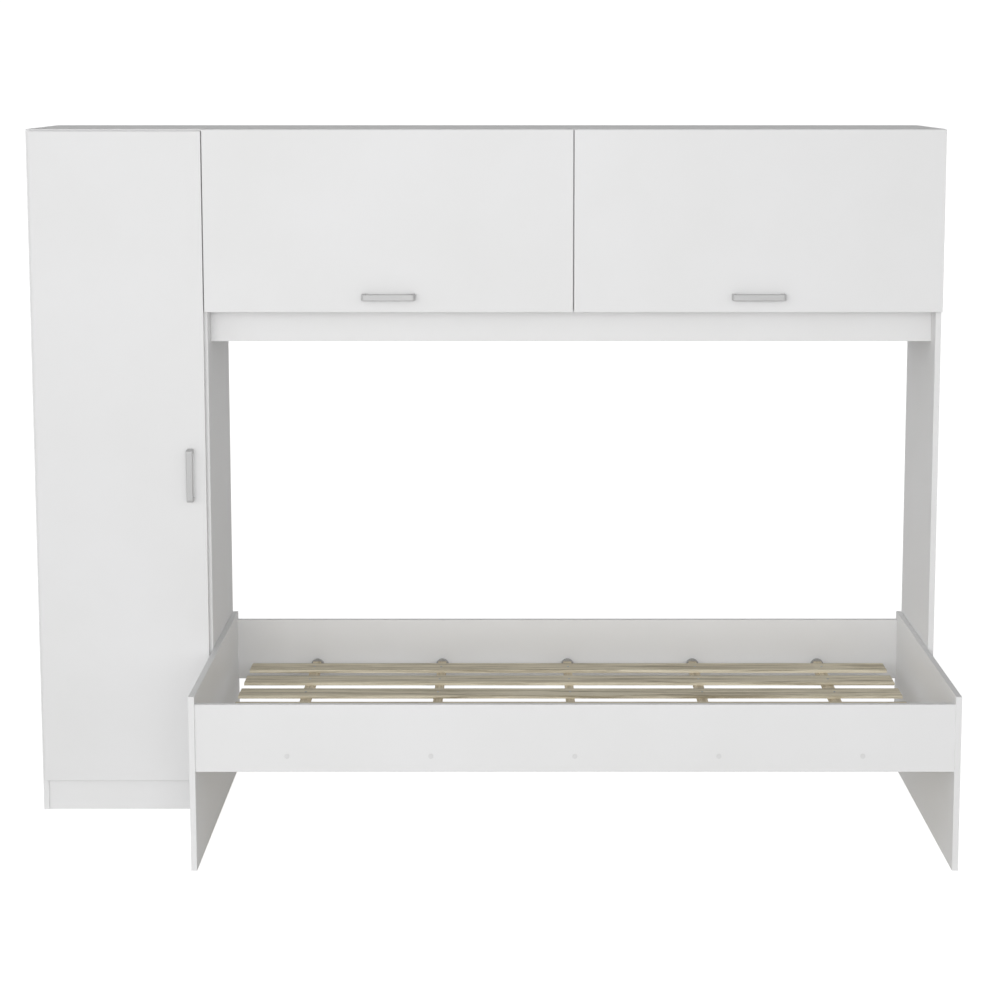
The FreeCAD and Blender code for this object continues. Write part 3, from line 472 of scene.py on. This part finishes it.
def link_pair(form, mouth, along, far, near):
    """Two flat links side by side, running from the arm's nose forward into the cup."""
    across = along.cross(Vector((0, 1, 0)))
    for side in (-1, 1):
        middle = mouth + along * side * LINK_FROM_MIDDLE
        rows = []
        for step in range(LINK_STEPS + 1):
            centre = Vector((middle.x, far + (near - far) * step / LINK_STEPS, middle.z))
            corners = [centre + across * wide + along * thick for wide, thick in LINK_SECTION]
            rows.append([form.verts.new(corner) for corner in corners])
        for lower, upper in zip(rows, rows[1:]):
            join_rows(form, lower, upper)
        form.faces.new(reversed(rows[0]))
        form.faces.new(rows[-1])


DOOR_HINGES = 4
DOOR_HINGE_FROM_END = 0.110
FLAP_HINGES = 3
FLAP_HINGE_FROM_END = 0.120
FLANGE = 0.001
CUP_FROM_EDGE = 0.0225
WING_SCREW = 0.024
CUP_SCREW_HEAD = (0.0036, 0.0012)
PLATE = 0.003
PLATE_MIDDLE = 0.037
PLATE_SCREW = 0.016
PLATE_SCREW_HEAD = (0.0036, 0.0014)
ARM_FACE = 0.011
SETTING_SCREWS = (0.0, 0.016)
SETTING_SCREW_HEAD = (0.0034, 0.0012)
carcass_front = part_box("wardrobe_left_side")[0][1]
arm_screws = bmesh.new()
for front in ("wardrobe_door", "left_flap", "right_flap"):
    low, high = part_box(front)
    upright = front == "wardrobe_door"
    cup_screws = bmesh.new()
    links = bmesh.new()
    if upright:
        board_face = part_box("wardrobe_left_side")[1][0]
        count = DOOR_HINGES
        first = low[2] + DOOR_HINGE_FROM_END
        last = high[2] - DOOR_HINGE_FROM_END
        along = Vector((0, 0, 1))
        away = Vector((1, 0, 0))
    else:
        board_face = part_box("bridge_top")[0][2]
        count = FLAP_HINGES
        first = low[0] + FLAP_HINGE_FROM_END
        last = high[0] - FLAP_HINGE_FROM_END
        along = Vector((1, 0, 0))
        away = Vector((0, 0, -1))
    for index in range(count):
        level = first + (last - first) * index / (count - 1)
        if upright:
            cup = Vector((low[0] + CUP_FROM_EDGE, high[1] + FLANGE, level))
            foot = Vector((board_face, carcass_front + PLATE_MIDDLE, level))
        else:
            cup = Vector((level, high[1] + FLANGE, high[2] - CUP_FROM_EDGE))
            foot = Vector((level, carcass_front + PLATE_MIDDLE, board_face))
        for side in (-1, 1):
            wing = cup + along * side * WING_SCREW
            cross_head(cup_screws, wing, (0, 1, 0), *CUP_SCREW_HEAD)
            plate = foot + along * side * PLATE_SCREW + away * PLATE
            cross_head(arm_screws, plate, away, *PLATE_SCREW_HEAD)
        for step in SETTING_SCREWS:
            on_arm = foot + away * ARM_FACE + Vector((0, step, 0))
            cross_head(arm_screws, on_arm, away, *SETTING_SCREW_HEAD)
        link_pair(links, cup, along, carcass_front + LINK_BEHIND_NOSE, high[1] - LINK_IN_CUP)
    made_piece(front + "_cup_screws", cup_screws, nickel, front)
    link_piece = made_piece(front + "_hinge_links", links, nickel)
    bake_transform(link_piece)
made_piece("hinge_arm_screws", arm_screws, nickel, "unit")

# Gas struts: painted steel cylinders with ground rods, on stud brackets at each end of the cabinets.
# Black collars close the cylinder at its foot and at the mouth that the rod runs in,
# and two cross-head screws hold each bracket.
grey_paint = surface(
    "grey_paint", cast_grain,
    {"Light": (0.085, 0.087, 0.09, 1), "Dark": (0.07, 0.072, 0.075, 1), "Grain Scale": 600.0},
    bump=0.10, distance=0.0002, Specular_IOR_Level=0.5)
finish(grey_paint, "left_strut_cylinders", "right_strut_cylinders")
finish(chrome, "left_strut_rods", "right_strut_rods")
finish(zinc, "strut_side_brackets", "left_flap_strut_brackets", "right_flap_strut_brackets")
collar_black = surface(
    "collar_black", cast_grain,
    {"Light": (0.030, 0.030, 0.031, 1), "Dark": (0.022, 0.022, 0.023, 1), "Grain Scale": 900.0},
    bump=0.12, distance=0.0002, Specular_IOR_Level=0.4)
STRUT_FROM_BOARD = 0.013
SIDE_STUD = (0.140, 1.640)
FLAP_STUD = (0.049, 1.877)
TUBE_START = 0.014
TUBE_END = 0.23387
COLLAR_BEFORE_FOOT = 0.0008
COLLAR_BEFORE_MOUTH = 0.0080
COLLAR_RINGS = [(0.00415, 0.0), (0.0080, 0.0), (0.0086, 0.0006),
                (0.0086, 0.0082), (0.0080, 0.0088), (0.00415, 0.0088)]
COLLAR_SIDES = 24
BRACKET = 0.003
FLAP_BRACKET_FROM_STRUT = 0.0214
BRACKET_SCREWS = (-0.012, 0.012)
BRACKET_SCREW_HEAD = (0.0036, 0.0014)
stud_to_stud = Vector((0.0, FLAP_STUD[0] - SIDE_STUD[0], FLAP_STUD[1] - SIDE_STUD[1]))
lean = stud_to_stud.normalized()
divider_low, divider_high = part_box("bridge_divider")
inner_faces = {"left": (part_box("centre_side")[1][0], divider_low[0]),
               "right": (divider_high[0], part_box("bridge_right_side")[0][0])}
flap_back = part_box("left_flap")[1][1]
side_bracket_screws = bmesh.new()
for cabinet, faces in inner_faces.items():
    collars = bmesh.new()
    flap_bracket_screws = bmesh.new()
    for face, sign in zip(faces, (1, -1)):
        strut_x = face + sign * STRUT_FROM_BOARD
        pivot = Vector((strut_x, SIDE_STUD[0], SIDE_STUD[1]))
        for start in (TUBE_START - COLLAR_BEFORE_FOOT, TUBE_END - COLLAR_BEFORE_MOUTH):
            rows = turned_rings(collars, pivot + lean * start, lean, COLLAR_RINGS, COLLAR_SIDES)
            join_rows(collars, rows[-1], rows[0])
        for step in BRACKET_SCREWS:
            on_side = (face + sign * BRACKET, SIDE_STUD[0], SIDE_STUD[1] + step)
            cross_head(side_bracket_screws, on_side, (sign, 0, 0), *BRACKET_SCREW_HEAD)
            bracket_x = face + sign * (STRUT_FROM_BOARD + FLAP_BRACKET_FROM_STRUT)
            on_flap = (bracket_x, flap_back + BRACKET, FLAP_STUD[1] + step)
            cross_head(flap_bracket_screws, on_flap, (0, 1, 0), *BRACKET_SCREW_HEAD)
    made_piece(cabinet + "_strut_collars", collars, collar_black,
               cabinet + "_strut_cylinders")
    made_piece(cabinet + "_flap_bracket_screws", flap_bracket_screws, zinc,
               cabinet + "_flap")
made_piece("side_bracket_screws", side_bracket_screws, zinc, "unit")

# Studio: a broad pale floor and a white surround, with one large soft light from the front.
# The surround's light is strongest low at the front left and fades overhead,
# while the camera sees both the floor and the surround as plain white.
FLOOR_HALF = 400.0
FLOOR_GLOW = (0.09, 0.74)
floor_corners = [(-FLOOR_HALF, -FLOOR_HALF, 0), (FLOOR_HALF, -FLOOR_HALF, 0),
                 (FLOOR_HALF, FLOOR_HALF, 0), (-FLOOR_HALF, FLOOR_HALF, 0)]
floor_mesh = bpy.data.meshes.new("floor")
floor_mesh.from_pydata(floor_corners, [], [(0, 1, 2, 3)])
floor = bpy.data.objects.new("floor", floor_mesh)
bpy.context.collection.objects.link(floor)
pale = bpy.data.materials.new("pale_floor")
pale.use_nodes = True
paint = pale.node_tree
matt = paint.nodes["Principled BSDF"]
matt.inputs["Base Color"].default_value = (0.85, 0.85, 0.85, 1)
matt.inputs["Roughness"].default_value = 0.9
glow = paint.nodes.new("ShaderNodeEmission")
seen_floor = paint.nodes.new("ShaderNodeLightPath").outputs["Is Camera Ray"]
paint.links.new(spread(paint, seen_floor, WHOLE, FLOOR_GLOW), glow.inputs["Strength"])
lit = paint.nodes.new("ShaderNodeAddShader")
paint.links.new(matt.outputs["BSDF"], lit.inputs[0])
paint.links.new(glow.outputs["Emission"], lit.inputs[1])
paint.links.new(lit.outputs["Shader"], paint.nodes["Material Output"].inputs["Surface"])
floor_mesh.materials.append(pale)

FULL_SWING = (-1.0, 1.0)
LIGHT_FRONT_TO_BACK = (1.21, 0.66)
LIGHT_LEFT_TO_RIGHT = (0.58, 0.0)
SHARE_LOW_TO_HIGH = (1.0, 0.0)
WHITE = (1.0, 1.0, 1.0, 1)
surround = bpy.data.worlds.new("surround")
surround.use_nodes = True
sky = surround.node_tree
way = sky.nodes.new("ShaderNodeSeparateXYZ")
sky.links.new(sky.nodes.new("ShaderNodeTexCoord").outputs["Generated"], way.inputs["Vector"])
front_to_back = spread(sky, way.outputs["Y"], FULL_SWING, LIGHT_FRONT_TO_BACK)
left_to_right = spread(sky, way.outputs["X"], FULL_SWING, LIGHT_LEFT_TO_RIGHT)
low_to_high = spread(sky, way.outputs["Z"], WHOLE, SHARE_LOW_TO_HIGH)
all_round = worked_out(sky, "ADD", front_to_back, left_to_right)
light_given = sky.nodes["Background"]
light_given.inputs["Color"].default_value = WHITE
sky.links.new(worked_out(sky, "MULTIPLY", all_round, low_to_high), light_given.inputs["Strength"])
seen = sky.nodes.new("ShaderNodeBackground")
seen.inputs["Color"].default_value = WHITE
seen.inputs["Strength"].default_value = 1.05
choice = sky.nodes.new("ShaderNodeMixShader")
sky.links.new(sky.nodes.new("ShaderNodeLightPath").outputs["Is Camera Ray"], choice.inputs["Fac"])
sky.links.new(light_given.outputs["Background"], choice.inputs[1])
sky.links.new(seen.outputs["Background"], choice.inputs[2])
sky.links.new(choice.outputs["Shader"], sky.nodes["World Output"].inputs["Surface"])
bpy.context.scene.world = surround

LAMP_AIM = Vector((0.1, 0.0, 1.0))
soft_light = bpy.data.lights.new("soft_light", "AREA")
soft_light.shape = "RECTANGLE"
soft_light.size = 5.0
soft_light.size_y = 3.0
soft_light.energy = 132.0
lamp = bpy.data.objects.new("soft_light", soft_light)
lamp.location = (-0.7, -6.5, 2.0)
lamp.rotation_euler = (LAMP_AIM - lamp.location).to_track_quat("-Z", "Y").to_euler()
bpy.context.collection.objects.link(lamp)

# Camera: from the front, a little right of the middle and above the flaps, tipped down slightly,
# with a modest drop of the frame.
PITCH_DOWN = 0.12754
TURN_RIGHT = 0.00043
lens = bpy.data.cameras.new("camera")
lens.lens = 81.02
lens.shift_x = -0.01894
lens.shift_y = -0.14
camera = bpy.data.objects.new("camera", lens)
camera.location = (0.08949, -6.22944, 2.106)
camera.rotation_euler = (math.pi / 2 - PITCH_DOWN, 0.0, -TURN_RIGHT)
bpy.context.collection.objects.link(camera)
bpy.context.scene.camera = camera
bpy.context.scene.view_settings.view_transform = "Standard"
